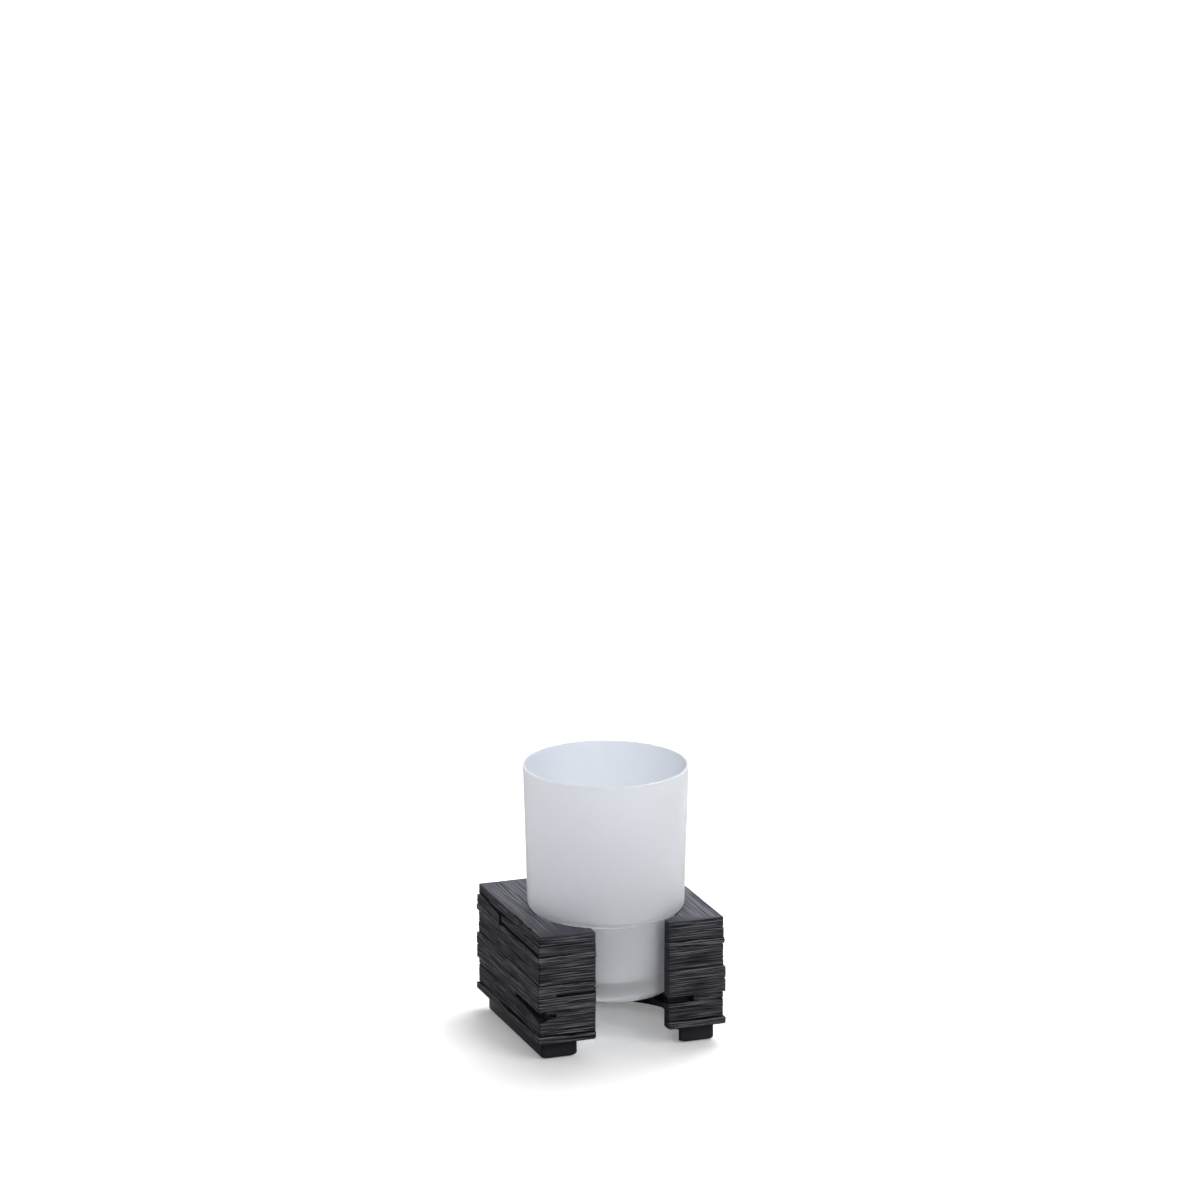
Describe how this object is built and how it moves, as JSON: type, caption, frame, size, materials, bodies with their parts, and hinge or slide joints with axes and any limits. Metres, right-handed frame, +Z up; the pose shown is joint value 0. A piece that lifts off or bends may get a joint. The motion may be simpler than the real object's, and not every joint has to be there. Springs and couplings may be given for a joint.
{
  "type": "toothbrush tumbler",
  "caption": "Frosted glass tumbler with a narrower lower part, seated in a dark stacked-slate look holder block that is open at the front and stands on a smooth foot frame.",
  "frame": {"origin": "middle of the footprint on the surface that the pads stand on", "axes": "+Z up along the tumbler's axis, -Y towards the open slot at the front, +X to the right seen from the front"},
  "size_m": [0.082, 0.0796, 0.1148],
  "materials": {
    "frosted_glass": "acid-frosted on both sides, satin, faint blue-white",
    "slate_look_resin": "cast in a stacked-slate texture with fine grooves along each course, satin charcoal",
    "smooth_resin": "smooth moulded, satin near-black",
    "pad_rubber": "plain matt"
  },
  "bodies": {
    "holder": {"holder_block": "slate_look_resin", "foot_frame": "smooth_resin", "pad_front_left": "pad_rubber", "pad_front_right": "pad_rubber", "pad_back_left": "pad_rubber", "pad_back_right": "pad_rubber"},
    "tumbler": {"glass_tumbler": "frosted_glass"}
  },
  "joints": [
    {"name": "tumbler_lift", "type": "slide", "parent": "holder", "child": "tumbler", "axis": [0, 0, 1], "range_m": [0, 0.05]}
  ]
}
